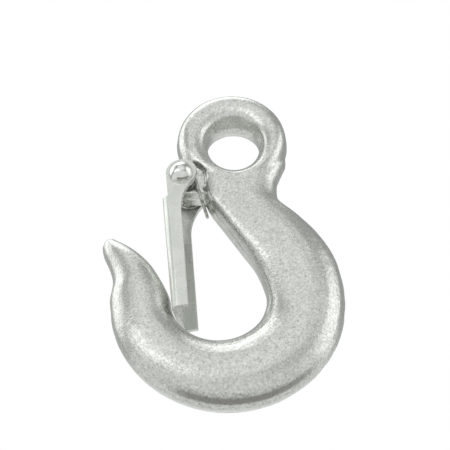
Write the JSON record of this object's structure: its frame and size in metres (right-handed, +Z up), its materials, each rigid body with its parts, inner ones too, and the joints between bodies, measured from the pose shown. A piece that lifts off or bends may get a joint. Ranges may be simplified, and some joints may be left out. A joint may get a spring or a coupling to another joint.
{
  "type": "eye hook with latch",
  "caption": "Forged lifting hook with a round eye at the top, a deep bowl, a swept tip and a spring-loaded sheet-metal latch riveted below the eye.",
  "frame": {"origin": "centre of the eye's bore, halfway through its thickness", "axes": "+Z up from the bowl to the eye, +Y along the eye's bore and through the hook's thickness, -X towards the tip and the latch"},
  "size_m": [0.0787, 0.0238, 0.1191],
  "materials": {
    "forged_zinc": "forged carbon steel, bright zinc plated, fine-grained satin",
    "sheet_zinc": "pressed steel sheet, bright zinc plated, satin",
    "rivet_steel": "bright plated steel, polished dome",
    "spring_steel": "drawn spring wire, lightly dulled"
  },
  "bodies": {
    "hook": {"hook_body": "forged_zinc", "latch_rivet": "rivet_steel", "latch_spring": "spring_steel"},
    "latch": {"latch": "sheet_zinc"}
  },
  "joints": [
    {"name": "latch_pivot", "type": "hinge", "parent": "hook", "child": "latch", "pos_m": [-0.0162, 0, -0.0158], "axis": [-0.165, -0.9863, 0], "range_deg": [0, 27], "stiffness_Nm_per_rad": 0.1, "springref_deg": -45.84, "deforming": ["latch_spring"]}
  ]
}
